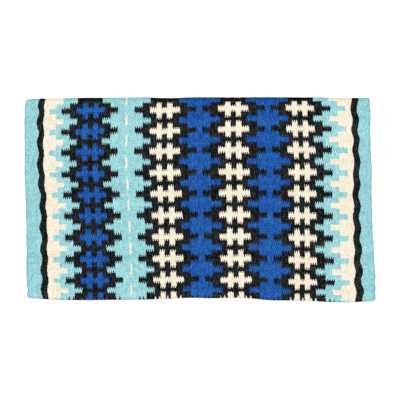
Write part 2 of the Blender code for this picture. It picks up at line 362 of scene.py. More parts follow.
def read_chart(chart, pick, rib):
    """Values of a chart between its places, blended from the four nearest."""
    across = np.clip(pick + 1, 0, chart.shape[0] - 1.001)
    along = np.clip(rib + 0.5, 0, chart.shape[1] - 1.001)
    i, j = across.astype(int), along.astype(int)
    s, t = across - i, along - j
    near = chart[i, j] * (1 - t) + chart[i, j + 1] * t
    far = chart[i + 1, j] * (1 - t) + chart[i + 1, j + 1] * t
    return near * (1 - s) + far * s


print("wander up to", round(float(abs(WANDER_X).max() * 1000), 2), "mm")

# %% [markdown]
# The two black stripes run in waves: the wool of the cream steps pushes them aside at every repeat. The cream
# dashes bow a little too. The wave belongs to the cloth, so it moves the wefts and not the colour edge.

# %% Waves of the stripes
WAVE_PICKS = (0, 5, 14, 20, 26, 96, 99, 102, 308, 315, 321, 329, 333)
WAVE = (0, 0.3, 1, 0.6, 0, 0, -0.2, 0, 0, -0.75, -1, -0.3, 0)
SHIFT_PICKS = (0, 14, 20, 26, 95, 99, 103, 166, 172, 295, 300, 308, 315, 321, 333)
SHIFT = (0, 0, -0.5, 0, 0, -1.35, 0, 0, -0.25, -0.25, 0, 0, -0.33, 0, 0)


def stripe_wave(pick, place):
    """Sideways swing of the wefts beside the stripes, in metres."""
    swing = np.cos(2 * np.pi * (place - REPEAT / 2) / REPEAT)
    return (np.interp(pick, WAVE_PICKS, WAVE) * swing + np.interp(pick, SHIFT_PICKS, SHIFT)) * PICK


print("the stripe swings by", round(2 * PICK * 1000, 1), "mm")

# %% [markdown]
# The black wool is the thickest of the four. At every join along the wefts it pushes turquoise or blue wool
# back by up to a quarter of a rib, more at the arms and at the left of a lattice, where the weaver pulled
# harder. That makes the black arms bolder than the gaps between them. The inlaid crosses hold their own.

# %% Push of the black wool
PUSH_PICKS = (40, 48, 79, 87, 110, 118, 153, 161, 175, 184, 219, 228, 242, 251, 283, 291)
PUSH = (0.24, 0.07, 0.13, 0.24, 0.21, 0.17, 0, 0.07, 0.25, 0.11, 0.02, 0.04, 0.24, 0.01, 0.02, 0.13)
# The chart of pushes reaches this far past the cloth, in picks and ribs
PUSH_MARGIN = 2


def black_push():
    """How far each join between two ribs is pushed along the wefts, in ribs, at every half float."""
    halves = np.arange(-PUSH_MARGIN, PICKS + PUSH_MARGIN) + 0.5
    firm = np.array([wool_name == "black" or name.startswith("cross") for name, wool_name in AREAS])
    rows = range(-PUSH_MARGIN, RIBS + PUSH_MARGIN)
    chart = np.array([firm[area_of(halves, np.full(len(halves), rib))] for rib in rows], float)
    return -np.diff(chart, axis=0) * np.interp(halves, PUSH_PICKS, PUSH)


PUSHES = black_push()


def push_at(pick, rib):
    """The push at points that lie on the outline of a float."""
    join = np.round(rib).astype(int) + PUSH_MARGIN - 1
    across = pick + PUSH_MARGIN - 0.5
    left = across.astype(int)
    share = across - left
    return PUSHES[join, left] * (1 - share) + PUSHES[join, left + 1] * share


print("joins that move:", int((PUSHES != 0).sum()), "half floats")

# %% [markdown]
# Now the whole way from chart to space. A point stands off the middle of the cloth by its height, to the
# outer face or the inner one. Near a hem the height turns round a small arc, so both faces meet at the edge
# without a seam. The corners are drawn in, since the wefts pull hardest there. Both layers end a hair short
# of the hinge line, so that they meet without rubbing when the blanket is opened.

# %% From the chart to space
# Lengths are in metres, but zones and reaches along the blanket are in ribs and HEM_ZONE in picks
HEM = CLOTH / 2
HEM_ZONE, END_ZONE = 4, 1.5
HINGE_GAP = 0.0004
CALM_REACH = 2
# The left stripe turns aside as it nears the fold, in millimetres
TURN_ASIDE = ((0, 8, 14, 20, 27, 36), (0, 2, 4.5, 4, 2, 0))
TURN_REACH = 1.8
# Lower corners: how round, and from which rib on
CORNER, CORNER_DEPTH = 0.0065, 0.8
CORNER_START, CORNER_REACH = 71, 5
# A notch in each hem above the corner, left and right
NOTCH_DEPTHS, NOTCH_WIDTH = (0.003, 0.0017), 0.03
NOTCH_PLACE, NOTCH_REACH = 73, 1.1
# Hems drawn in at the fold: on the flat, in the turn, and how much of it left and right
PINCH_FLAT, PINCH_TURN, PINCH_WIDTH = 0.0035, 0.006, 0.06
PINCH_SHARES, PINCH_REACH = (1.05, 0.2), 3.2
# The hidden layer lies a little further in
UNDER_INSET, UNDER_WIDTH, UNDER_REACH = 0.0016, 0.1, 12
# The upper layer swells in slow waves
SWELL, SWELL_REACH = 0.0007, 8
SWELL_PICKS, SWELL_RIBS = (17, 61), (23, 11)


def growing(distance, reach):
    """From 0 at no distance to 1 at the reach and beyond."""
    return np.clip(distance / reach, 0, 1)


def fading(distance, reach):
    """From 1 at no distance to 0 at the reach and beyond."""
    return np.clip(1 - distance / reach, 0, 1)


def rolled(distance, zone):
    """How far in from a hem, in plan, and what share of its height a point keeps."""
    spare = HEM * (math.pi / 2 - 1)
    along = distance * np.where(distance < zone, (zone + spare) / zone, 1)
    turn = np.clip(along / HEM, 0, math.pi / 2)
    plan = np.where(along < HEM * math.pi / 2, HEM * (1 - np.cos(turn)), along - spare)
    plan = np.where(distance < zone, plan, distance)
    return plan, np.sin(turn)


def in_space(pick, rib, height):
    """Places in metres of points of the chart, with height off the middle of the cloth, outward."""
    left, side_share = rolled(np.minimum(pick, PICKS - pick) * PICK, HEM_ZONE * PICK)
    sign = np.where(pick < PICKS / 2, -1, 1)
    x = sign * (WIDTH / 2 - left)
    on_top = rib > FOLD_END
    below = rib < FOLD_FIRST
    place = np.where(on_top, rib - FOLD_END, np.where(below, FOLD_FIRST - rib, 0))
    from_end, end_share = rolled((FOLD_FIRST - place) * RIB, END_ZONE * RIB)
    back = FOLD_FIRST * RIB - from_end
    height = height * side_share * end_share
    x = x + drift(DRIFT_ASIDE, ASIDE_PICKS, pick, place) + stripe_wave(pick, place)
    x = x + np.interp(pick, *TURN_ASIDE) * MM * fading(place, TURN_REACH)
    calm = growing(place, CALM_REACH) * growing(FOLD_FIRST - place, CALM_REACH)
    x = x + read_chart(WANDER_X, pick, rib) * calm
    near_end = growing(place - DRIFT_RIBS[-1], FOLD_FIRST - DRIFT_RIBS[-1])
    after_first = growing(place - 1, DRIFT_RIBS[0] - 1)
    first = np.interp(pick, DOWN_PICKS, FIRST_DOWN) * MM * np.clip(place, 0, 1)
    down = first * (1 - after_first) + drift(DRIFT_DOWN, DOWN_PICKS, pick, place) * after_first
    down = down * (1 - near_end)
    back = back + down - near_end * eased(pick, END_PICKS, END_DRIFT) * MM
    back = back + read_chart(WANDER_Y, pick, rib) * calm
    rounding = CORNER * (1 - np.sqrt(1 - fading(left, CORNER) ** 2)) * CORNER_DEPTH
    back = back - rounding * growing(place - CORNER_START, CORNER_REACH)
    notch = np.where(sign < 0, *NOTCH_DEPTHS) * np.exp(-(((place - NOTCH_PLACE) / NOTCH_REACH) ** 2))
    x = x - sign * notch * fading(left, NOTCH_WIDTH)
    pinch = fading(place, PINCH_REACH) ** 2 * PINCH_FLAT
    turn = growing(rib - FOLD_FIRST, FOLD_END - FOLD_FIRST) * math.pi
    pinch = pinch + PINCH_TURN * np.sin(turn) ** 2
    pinch = pinch * np.where(sign < 0, *PINCH_SHARES)
    x = x - sign * pinch * fading(left, PINCH_WIDTH)
    hidden = np.where(below, growing(place, UNDER_REACH), 0)
    x = x - sign * hidden * UNDER_INSET * fading(left, UNDER_WIDTH)
    back = back - hidden * UNDER_INSET * near_end
    winding = np.sin(pick / SWELL_PICKS[0] + 2 * np.sin(place / SWELL_RIBS[0]))
    swell = SWELL * (0.5 + 0.5 * winding * np.cos(place / SWELL_RIBS[1] + pick / SWELL_PICKS[1]))
    lift = np.where(on_top, swell * growing(place, SWELL_REACH), 0)
    radius = MIDDLE_RADIUS + height
    bulge = eased(pick, FOLD_PICKS, FOLD_BULGE)
    y = np.where(on_top | below, -back, radius * np.sin(turn) * bulge)
    z = np.where(on_top, radius + lift, np.where(below, -radius, -radius * np.cos(turn)))
    return np.stack([x, CREASE.y - HINGE_GAP + y, CREASE.z + z], axis=1)


corner = in_space(np.array([0.0, PICKS]), np.array([RIBS, RIBS], float), np.zeros(2))
print("lower corners:", corner.round(4).tolist())

# %% [markdown]
# ## Lay out all floats
#
# Every second place on a rib holds a float, and the next rib is shifted by one pick. Both half-hidden floats
# at the sides and the tips that reach in from beyond the ends are laid out too, and what falls outside the
# cloth is dropped. Each triangle then knows its layer and its colour area, and each such pair is one piece.
# Where black meets another wool the tips slip past each other and make a row of teeth. Cream and turquoise
# were joined by turning both round the same cord, so there the tips take the wool of the rib they lie in.

# %% Lay out the floats
ribs, picks = np.meshgrid(np.arange(-1, RIBS + 1), np.arange(-1, PICKS + 2), indexing="ij")
present = (ribs + picks) % 2 == 0
ribs, picks = ribs[present], picks[present]
home = ribs[:, None] + TEMPLATE_PARTS[None, :]
by_half = [area_of(picks + half / 2, ribs) for half in (-1, 1)]
area_index = np.where(TEMPLATE_HALVES[None, :] < 0, by_half[0][:, None], by_half[1][:, None])
wool_number = np.array(["turquoise cream royal black".split().index(wool_name) for _, wool_name in AREAS])
for tip in np.flatnonzero(TEMPLATE_PARTS):
    there = area_of(picks + TEMPLATE_HALVES[tip] / 2, home[:, tip])
    soft_join = (wool_number[there] < 2) & (wool_number[area_index[:, tip]] < 2)
    area_index[:, tip] = np.where(soft_join, there, area_index[:, tip])
chart_x = picks[:, None] + TEMPLATE[None, :, 0]
corner_x = chart_x[:, TEMPLATE_TRIANGLES]
inside = (home >= 0) & (home < RIBS)
inside &= (corner_x.min(axis=2) >= 0) & (corner_x.max(axis=2) <= PICKS)
corner_y = (ribs[:, None] + 0.5 + TEMPLATE[None, :, 1])[:, TEMPLATE_TRIANGLES]
at_edge = (corner_x <= 0) | (corner_x >= PICKS) | (corner_y <= 0) | (corner_y >= RIBS)
inside &= ~at_edge.all(axis=2)
layer_of = np.where(home < FOLD_FIRST, 0, np.where(home < FOLD_END, 1, 2))
print(len(ribs), "floats,", int(inside.sum()), "triangles on one face")

# %% [markdown]
# ## Yarn that is never quite even
#
# Hand-dyed wool takes its colour a little differently from one length to the next, and each float catches
# the light in its own way. One number per float holds that: part chance, part a slow change along the weft,
# part a small change in tone from rib to rib, and on some ribs painted shade of the slight valleys between
# ribs. The rolled borders are a touch darker. The material turns the number into colour later.

# %% A shade for every float
OWN_PART, WALK_PART, RIB_SHADE_PART = 0.1, 0.04, 0.06
WALK_STEP, WALK_LIMIT = 0.35, 2.2
RIB_TONE_SPREAD, VALLEY_SHADE_SHARE, VALLEY_SHADE = 0.3, 0.16, -1.6
BORDER_DARKER = 0.08
SHADE_LIMITS = (-0.2, 1.2)
# How much one float differs from the next in its lean and its height
UNEVEN = 0.10

pick_walk = np.cumsum(chance.normal(0, WALK_STEP, (PICKS + 3, RIBS + 2)), axis=1)
pick_walk -= np.linspace(0, 1, RIBS + 2)[None, :] * pick_walk[:, -1:]
pick_walk = np.tanh(pick_walk / WALK_LIMIT)
rib_tone_and_valley_shade = chance.normal(0, 1, RIBS + 2)
# Most ribs vary a little in tone; a few get painted shade, darker, for the valleys between ribs
rib_tone_and_valley_shade = np.where(chance.random(RIBS + 2) < VALLEY_SHADE_SHARE, VALLEY_SHADE, rib_tone_and_valley_shade * RIB_TONE_SPREAD)
own = chance.normal(0, 1, (PICKS + 3, RIBS + 2))
shade_chart = 0.5 + OWN_PART * own + WALK_PART * pick_walk + RIB_SHADE_PART * rib_tone_and_valley_shade[None, :]
in_border = (picks < BANDS[0][2][0]) | (picks > BANDS[-2][2][0])
float_shade = np.clip(shade_chart[picks + 1, ribs + 1] - BORDER_DARKER * in_border, *SHADE_LIMITS)
float_chance = chance.random(len(picks))
lean = chance.normal(0, UNEVEN, len(picks))
plump = chance.normal(1, UNEVEN, len(picks))
print("shade from", round(float(float_shade.min()), 2), "to", round(float(float_shade.max()), 2))

# %% [markdown]
# ## From floats to a closed piece
#
# A piece is made from its triangles on the outer face, the same triangles on the inner face, and a wall
# where it meets another wool. Points that two floats share are joined, so the piece is one closed skin, and
# the edges between floats are marked sharp, which keeps the grooves crisp. Teeth next to the fold are kept
# short, so that no float of one layer crosses into the other when the blanket is opened. Everything is done
# on whole arrays with numpy, because a loop over more than a million triangles would take minutes.

# %% Join floats into one skin
RELIEF = 0.0014
PROUD = 0.0002
# Template points lower than this lie on the outline, and tips and sides start this far from the middle
OUTLINE_BELOW, TIP_START, SIDE_START = 0.3, 0.6, 0.55
# Points that agree to a tenth of a pick and a tiny part of a rib are one point
PICK_STEPS, RIB_STEPS = 10, 10_000
# More ribs than there are, and more points than any piece has, so that two numbers make one key
MANY_RIBS, MANY_POINTS = 1000, 4_000_000


def gather(chosen_float, chosen_triangle):
    """Points, triangles and float numbers of one face of a piece, on the chart."""
    corners = TEMPLATE_TRIANGLES[chosen_triangle]
    pick = picks[chosen_float][:, None] + TEMPLATE[corners, 0]
    rib = ribs[chosen_float][:, None] + 0.5 + TEMPLATE[corners, 1]
    height = TEMPLATE[corners, 2]
    inner = (height > OUTLINE_BELOW).astype(float)
    height = height * (1 + inner * (plump[chosen_float][:, None] - 1))
    nudge = lean[chosen_float][:, None] * inner * np.sin(np.pi * TEMPLATE[corners, 1])
    tip = np.abs(TEMPLATE[corners, 1]) > TIP_START
    row = ribs[chosen_float][:, None] + np.where(tip, np.sign(TEMPLATE[corners, 1]), 0).astype(int)
    meets = (tip & (height < OUTLINE_BELOW)) | (np.abs(TEMPLATE[corners, 0]) > SIDE_START)
    from_fold = np.minimum(np.abs(rib - FOLD_FIRST), np.abs(rib - FOLD_END))
    tooth = TOOTH[np.round(pick).astype(int) + 1, row + 2] + push_at(pick, rib)
    tooth = tooth * meets * np.clip(from_fold, 0, 1)
    key = np.round(pick * PICK_STEPS).astype(np.int64) * MANY_RIBS * RIB_STEPS
    key += np.round((rib + 2) * RIB_STEPS).astype(np.int64)
    _, first, where = np.unique(key.ravel(), return_index=True, return_inverse=True)
    points = np.stack([a.ravel()[first] for a in (pick, rib, height, nudge, tooth)], axis=1)
    return points, where.reshape(-1, 3)


def edges_of(triangles):
    """Every side of every triangle: its ends, and a key that is the same for both ways round."""
    pairs = np.concatenate([triangles[:, [0, 1]], triangles[:, [1, 2]], triangles[:, [2, 0]]])
    low, high = pairs.min(axis=1), pairs.max(axis=1)
    return pairs, low.astype(np.int64) * MANY_POINTS + high


def skin(points, triangles):
    """Both faces and the walls: places in space, triangles, and how many of them lie on a face."""
    pick, rib, height, nudge, tooth = points.T
    off = CLOTH / 2 + PROUD - RELIEF * (1 - height)
    outer = in_space(pick + nudge, rib + tooth, off)
    inner = in_space(pick + nudge, rib + tooth, -off)
    at_hem = (pick <= 0) | (pick >= PICKS) | (rib <= 0) | (rib >= RIBS)
    count = len(points)
    twin = np.where(at_hem, np.arange(count), np.arange(count) + count)
    pairs, key = edges_of(triangles)
    _, index, uses = np.unique(key, return_index=True, return_counts=True)
    rim = pairs[index[uses == 1]]
    a, b = rim[:, 0], rim[:, 1]
    walls = np.concatenate([np.stack([b, a, twin[a]], 1), np.stack([b, twin[a], twin[b]], 1)])
    walls = walls[(walls[:, 0] != walls[:, 1]) & (walls[:, 1] != walls[:, 2]) & (walls[:, 0] != walls[:, 2])]
    faces = np.concatenate([triangles, twin[triangles][:, ::-1], walls])
    return np.concatenate([outer, inner]), faces, len(triangles)


print("relief of the weave:", RELIEF * 1000, "mm")

# %% [markdown]
# A texture baked for another program needs each triangle to have its own spot on a square. The chart is
# flat already, so it can serve: strips of ribs are laid side by side, outer face and inner face in turn,
# and the walls get rows of small cells above them.

# %% Lay the skin out flat
# Shares of the square
MARGIN, ACROSS = 0.01, 0.98
CHART_SHARE = 0.92
WALLS_START, WALLS_SHARE = 0.945, 0.045
# Columns of wall cells for each row of them, and how much of its cell a wall fills
WALL_COLUMNS, CELL_FILL = 18, 0.9
# Room left round a strip, in picks at both sides together and in ribs at each end
STRIP_ROOM, END_ROOM = 1.5, 0.6


def flat_layout(points, triangles, rib_of, wall_count):
    """Texture places for outer, inner and wall triangles, all inside the unit square."""
    pick, rib = points[:, 0] * PICK, points[:, 1]
    start, end = int(rib_of.min()), int(rib_of.max()) + 1
    wide = pick.max() - pick.min() + STRIP_ROOM * PICK
    strips = max(1, round(math.sqrt((end - start) * RIB / (2 * wide))))
    tall = math.ceil((end - start) / strips)
    strip = (rib_of - start) // tall
    u = pick[triangles] - pick.min() + STRIP_ROOM / 2 * PICK
    v = (rib[triangles] - start - (strip * tall)[:, None] + END_ROOM) * RIB
    across, up = 2 * strips * wide, (tall + 2 * END_ROOM) * RIB
    sheets = []
    for face in range(2):
        aside = MARGIN + ACROSS * (u + (2 * strip[:, None] + face) * wide) / across
        places = np.stack([aside, MARGIN + CHART_SHARE * v / up], 2)
        sheets.append(places if face == 0 else places[:, ::-1])
    columns = math.ceil(math.sqrt(wall_count * WALL_COLUMNS)) + 1
    rows = math.ceil(wall_count / columns) + 1
    cell = np.arange(wall_count)
    aside = MARGIN + ACROSS * (cell % columns) / columns
    low = np.stack([aside, WALLS_START + WALLS_SHARE * (cell // columns) / rows], 1)
    size = np.array([ACROSS / columns, WALLS_SHARE / rows]) * CELL_FILL
    walls = low[:, None, :] + np.array([(0, 0), (1, 0), (0.5, 1)])[None] * size
    return np.concatenate([*sheets, walls])


print("strips lie side by side, outer and inner face in turn")

# %% [markdown]
# ## Wool
#
# Dyed wool is matt and a little hairy. Its colour is never one value: long streaks follow the yarn, lighter
# and darker floats lie side by side, and fine fibres break up every highlight. Each wool gets a dark, a
# middle and a light tint. The float's own number chooses between them, noise blends them, and a twisted
# pattern of plies bends the light along each float. The height of each point adds painted shade, darker in
# the grooves and lighter on the crowns. The sheen stands for the loose fibres on top.

# %% Make a wool
# How much each pattern tells in the choice of tint, and what is taken off their sum
STREAK_PART, CLOUD_PART, HAIR_PART, GROOVE_SHADE_PART, SUM_OFF = 2.2, 0.15, 0.45, 0.4, 1.6
DARK_PLACE, MIDDLE_PLACE, LIGHT_PLACE = 0.12, 0.5, 0.88
PLY_PART = 0.6
FIBRE_LEAN, PLY_LEAN = math.radians(24), math.radians(32)


def math_node(tree, kind, a, b):
    """The result of a sum on two sockets, or on a socket and a number."""
    made = tree.nodes.new("ShaderNodeMath")
    made.operation = kind
    for socket, value in zip(made.inputs, (a, b)):
        if isinstance(value, (int, float)):
            socket.default_value = value
        else:
            tree.links.new(value, socket)
    return made.outputs["Value"]


def wool(name, dark, middle, light, bumps):
    """A wool material between three tints, linear red, green and blue."""
    paint = bpy.data.materials.new(name)
    paint.use_nodes = True
    tree = paint.node_tree
    nodes, links = tree.nodes, tree.links
    shader = nodes["Principled BSDF"]
    shader.inputs["Sheen Weight"].default_value = 0.005
    shader.inputs["Sheen Roughness"].default_value = 0.6
    shader.inputs["Specular IOR Level"].default_value = 0.05
    shader.inputs["IOR"].default_value = 1.15

    def node(kind, **inputs):
        made = nodes.new(kind)
        for key, value in inputs.items():
            made.inputs[key].default_value = value
        return made

    shade = nodes.new("ShaderNodeAttribute")
    shade.attribute_name = "float_shade"
    height = nodes.new("ShaderNodeAttribute")
    height.attribute_name = "float_height"
    yarn = nodes.new("ShaderNodeAttribute")
    yarn.attribute_name = "yarn_place"
    place = nodes.new("ShaderNodeTexCoord")

    heather = node("ShaderNodeTexNoise", Scale=360, Detail=2, Roughness=0.6)
    links.new(place.outputs["Object"], heather.inputs["Vector"])
    cloud = node("ShaderNodeTexNoise", Scale=14, Detail=2, Roughness=0.5)
    links.new(place.outputs["Object"], cloud.inputs["Vector"])

    stretch = node("ShaderNodeMapping", Scale=(2600, 420, 1))
    stretch.inputs["Rotation"].default_value = (0, 0, FIBRE_LEAN)
    links.new(yarn.outputs["Vector"], stretch.inputs["Vector"])
    fibre = node("ShaderNodeTexNoise", Scale=1, Detail=3, Roughness=0.65)
    links.new(stretch.outputs["Vector"], fibre.inputs["Vector"])

    streak = math_node(tree, "MULTIPLY", heather.outputs["Fac"], STREAK_PART)
    slow = math_node(tree, "MULTIPLY", cloud.outputs["Fac"], CLOUD_PART)
    hair = math_node(tree, "MULTIPLY", fibre.outputs["Fac"], HAIR_PART)
    patterns = math_node(tree, "ADD", streak, slow)
    finer = math_node(tree, "ADD", hair, shade.outputs["Fac"])
    total = math_node(tree, "ADD", patterns, finer)
    # Painted shade from the height: darker in the grooves, lighter on the crowns
    painted_shade = math_node(tree, "MULTIPLY", height.outputs["Fac"], GROOVE_SHADE_PART)
    level = math_node(tree, "SUBTRACT", math_node(tree, "ADD", total, painted_shade), SUM_OFF)

    tint = nodes.new("ShaderNodeValToRGB")
    tint.color_ramp.elements[0].position = DARK_PLACE
    tint.color_ramp.elements[0].color = (*dark, 1)
    tint.color_ramp.elements[1].position = LIGHT_PLACE
    tint.color_ramp.elements[1].color = (*light, 1)
    tint.color_ramp.elements.new(MIDDLE_PLACE).color = (*middle, 1)
    links.new(level, tint.inputs["Fac"])
    links.new(tint.outputs["Color"], shader.inputs["Base Color"])

    matt = node("ShaderNodeMapRange", **{"To Min": 0.8, "To Max": 0.98})
    links.new(fibre.outputs["Fac"], matt.inputs["Value"])
    links.new(matt.outputs["Result"], shader.inputs["Roughness"])

    ply = nodes.new("ShaderNodeTexWave")
    ply.inputs["Scale"].default_value = 0.16
    ply.inputs["Distortion"].default_value = 1.5
    twist = node("ShaderNodeMapping", Scale=(1000, 1000, 1))
    twist.inputs["Rotation"].default_value = (0, 0, PLY_LEAN)
    links.new(yarn.outputs["Vector"], twist.inputs["Vector"])
    links.new(twist.outputs["Vector"], ply.inputs["Vector"])
    plies = math_node(tree, "MULTIPLY", ply.outputs["Fac"], PLY_PART)
    relief = math_node(tree, "ADD", plies, fibre.outputs["Fac"])
    bump = node("ShaderNodeBump", Strength=bumps, Distance=0.0004)
    links.new(relief, bump.inputs["Height"])
    links.new(bump.outputs["Normal"], shader.inputs["Normal"])
    return paint


WOOLS = {
    "turquoise": wool("dyed_turquoise", (0.23, 0.52, 0.55), (0.352, 0.68, 0.72), (0.48, 0.80, 0.83), 0.5),
    "black": wool(
        "dyed_black", (0.0028, 0.0032, 0.0032), (0.0122, 0.0138, 0.0138), (0.054, 0.054, 0.058), 0.8
    ),
    "royal": wool("dyed_royal", (0.005, 0.055, 0.27), (0.0175, 0.106, 0.405), (0.042, 0.18, 0.54), 0.5),
    "cream": wool("undyed_cream", (0.785, 0.72, 0.55), (0.89, 0.82, 0.675), (0.98, 0.92, 0.80), 0.45),
}
print("wools:", ", ".join(WOOLS))

# %% [markdown]
# ## Weave the pieces
#
# With all helpers ready, each layer is woven area by area. A piece of a layer rides on that layer's body.
# The turn of the fold has one piece for each wool. Fabric that crosses a hinge can't ride on one side, so
# these pieces ride on no body.
# Near the hems, the ends and the turn of the fold, where the cloth rounds over, painted shade makes the
# wool a little darker.

# %% Weave the pieces
# Strength of the painted shade near hems, ends and the fold
RIM_SHADE = 1.8
WALL_SHADE = 0.35
# How far the painted shade reaches: in from a hem in picks, from an end and from the fold in ribs
HEM_SHADE_REACH, END_SHADE_REACH, FOLD_SHADE_REACH = 1.5, 0.5, 0.8


def rim_shaded(pick, rib):
    """How much painted shade points get near a hem, an end or the middle of the fold's turn, from 0 to 1."""
    hem = np.minimum(pick, PICKS - pick) / HEM_SHADE_REACH
    end = np.minimum(rib, RIBS - rib) / END_SHADE_REACH
    fold = np.abs(rib - (FOLD_FIRST + FOLD_END) / 2) / FOLD_SHADE_REACH
    return np.exp(-np.minimum(np.minimum(hem, end), fold) ** 2)


LAYERS = ("under", "fold", "top")
BODIES = ("under_layer", None, "top_layer")
collection = bpy.data.collections.new("blanket")
bpy.context.scene.collection.children.link(collection)


def weave(name, colour, chosen):
    """Make the object for the chosen (float, triangle) pairs."""
    chosen_float, chosen_triangle = chosen
    points, triangles = gather(chosen_float, chosen_triangle)
    places, faces, face_count = skin(points, triangles)
    wall_count = len(faces) - 2 * face_count
    used, faces_flat = np.unique(faces.ravel(), return_inverse=True)
    mesh = bpy.data.meshes.new(name)
    mesh.vertices.add(len(used))
    mesh.vertices.foreach_set("co", places[used].astype(np.float32).ravel())
    mesh.loops.add(len(faces_flat))
    mesh.loops.foreach_set("vertex_index", faces_flat.astype(np.int32))
    mesh.polygons.add(len(faces))
    mesh.polygons.foreach_set("loop_start", np.arange(0, 3 * len(faces), 3, dtype=np.int32))
    mesh.update(calc_edges=True)
    mesh.validate()

    both = np.concatenate([chosen_float, chosen_float])
    shade = np.concatenate([float_shade[both], np.full(wall_count, WALL_SHADE)])
    mesh.attributes.new("float_shade", "FLOAT", "FACE").data.foreach_set("value", shade.astype(np.float32))
    # The height, less painted shade near hems, ends and the fold, goes to the wool, which paints it as shade
    painted_shade = points[:, 2] - RIM_SHADE * rim_shaded(points[:, 0], points[:, 1])
    painted_shade = np.concatenate([painted_shade, painted_shade])[used]
    mesh.attributes.new("float_height", "FLOAT", "POINT").data.foreach_set("value", painted_shade.astype(np.float32))

    corners = TEMPLATE_TRIANGLES[chosen_triangle]
    local = np.stack([TEMPLATE[corners, 0] * PICK, TEMPLATE[corners, 1] * RIB], 2)
    local = local + np.stack([float_chance, float_shade], 1)[chosen_float][:, None, :]
    local = np.concatenate([local, local[:, ::-1], np.zeros((wall_count, 3, 2))])
    local = np.concatenate([local, np.zeros((len(faces), 3, 1))], axis=2)
    mesh.attributes.new("yarn_place", "FLOAT_VECTOR", "CORNER").data.foreach_set(
        "vector", local.astype(np.float32).ravel()
    )

    owner = np.concatenate([chosen_float, chosen_float, np.full(wall_count, -1)])
    whole = faces_flat.reshape(-1, 3)
    _, key = edges_of(whole)
    sides = np.tile(owner, 3)
    order = np.argsort(key, kind="stable")
    key, sides = key[order], sides[order]
    same = (key[1:] == key[:-1]) & (sides[1:] != sides[:-1])
    sharp_keys = np.unique(key[1:][same])
    ends = np.empty(len(mesh.edges) * 2, np.int32)
    mesh.edges.foreach_get("vertices", ends)
    ends = ends.reshape(-1, 2).astype(np.int64)
    edge_keys = ends.min(axis=1) * MANY_POINTS + ends.max(axis=1)
    sharp = np.isin(edge_keys, sharp_keys)
    mesh.attributes.new("sharp_edge", "BOOLEAN", "EDGE").data.foreach_set("value", sharp)

    layout = flat_layout(points, triangles, ribs[chosen_float], wall_count)
    mesh.uv_layers.new(name="OFBake").uv.foreach_set("vector", layout.astype(np.float32).ravel())
    mesh.materials.append(WOOLS[colour])
    piece = bpy.data.objects.new(name, mesh)
    collection.objects.link(piece)
    return piece


float_index = np.broadcast_to(np.arange(len(ribs))[:, None], inside.shape)
triangle_index = np.broadcast_to(np.arange(len(TEMPLATE_TRIANGLES))[None, :], inside.shape)
woven = []


def pick_out(layer, areas):
    """The (float, triangle) pairs of some areas in one layer."""
    chosen = inside & (layer_of == layer) & np.isin(area_index, areas)
    return float_index[chosen], triangle_index[chosen]


for layer in (0, 2):
    for number, (area, colour) in enumerate(AREAS):
        piece = weave(f"{LAYERS[layer]}_weft_{area}", colour, pick_out(layer, [number]))
        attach(piece, BODIES[layer])
        woven.append(piece)
for colour in WOOLS:
    numbers = [number for number, (_, wool_name) in enumerate(AREAS) if wool_name == colour]
    piece = weave(f"fold_weft_{colour}", colour, pick_out(1, numbers))
    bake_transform(piece)
    woven.append(piece)

counts = sorted((len(piece.data.polygons), piece.name) for piece in woven)
print(len(woven), "pieces,", sum(count for count, _ in counts), "triangles, largest", counts[-1])

# %% [markdown]
# ## Hide the plain solids
#
# The imported model has a plain solid for each band. The woven piece takes its place in the picture, and
# the solid is hidden: the nine of a cross column, the underside's three and those of the fold.

# %% Hide the plain solids
by_name = {piece.name: piece for piece in woven}
for area, _ in AREAS:
    piece = by_name["top_weft_" + area]
    solids = [name for name in frame["nodes"] if name == "top_" + area or name.startswith(f"top_{area}_")]
    if solids:
        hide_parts(*solids)
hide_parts("under_border_left")
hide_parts("under_border_right")
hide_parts("under_field")
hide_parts("fold_border_left", "fold_border_right")
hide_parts("fold_field")
still = [name for name, node in frame["nodes"].items() if not node.hide_render]
print("solids still shown:", still)

# %% [markdown]
# ## Warp cords
#
# Under every rib lies a cord of spun wool, from hem to hem. It can't be seen on a sound blanket, but it is
# what holds the wefts, and whoever takes the part apart will look for it. A cord is a ring of eight points
# carried along its rib on the same chart, so it follows every drift of the cloth. The cords are the one
# layer that runs through the whole blanket, round the fold too.

# %% Lay the warp cords
CORD_RADIUS = 0.0016
CORD_SIDES = 8
CORD_STATIONS = 26
# Ends of a cord in picks from the hem, first and last cord in ribs from the selvedge
CORD_INSET, CORD_END_INSET = 1.5, 0.75
# A cord beside the fold's joins stays within this share of its rib
CORD_LIMIT = 0.98


def cords():
    """All cords as one mesh of closed tubes."""
    along = np.linspace(CORD_INSET, PICKS - CORD_INSET, CORD_STATIONS)
    turn = np.linspace(0, 2 * math.pi, CORD_SIDES, endpoint=False)
    cord, station, side = np.meshgrid(
        np.arange(RIBS), np.arange(CORD_STATIONS), np.arange(CORD_SIDES), indexing="ij"
    )
    shift = CORD_RADIUS * np.cos(turn[side]) / RIB
    rib = np.clip(cord + 0.5, CORD_END_INSET, RIBS - CORD_END_INSET) + shift
    beside_join = (cord == FOLD_FIRST - 1) | (cord == FOLD_END - 1)
    rib = np.where(beside_join, np.minimum(rib, cord + CORD_LIMIT), rib)
    places = in_space(along[station].ravel(), rib.ravel(), CORD_RADIUS * np.sin(turn[side]).ravel())
    number = (cord * CORD_STATIONS + station) * CORD_SIDES + side
    a, b = number[:, :-1], number[:, 1:]
    after_a, after_b = np.roll(a, -1, axis=2), np.roll(b, -1, axis=2)
    tube = np.stack([a, b, after_b, after_a], -1).reshape(-1, 4)
    return places, tube.tolist() + number[:, 0, ::-1].tolist() + number[:, -1].tolist()


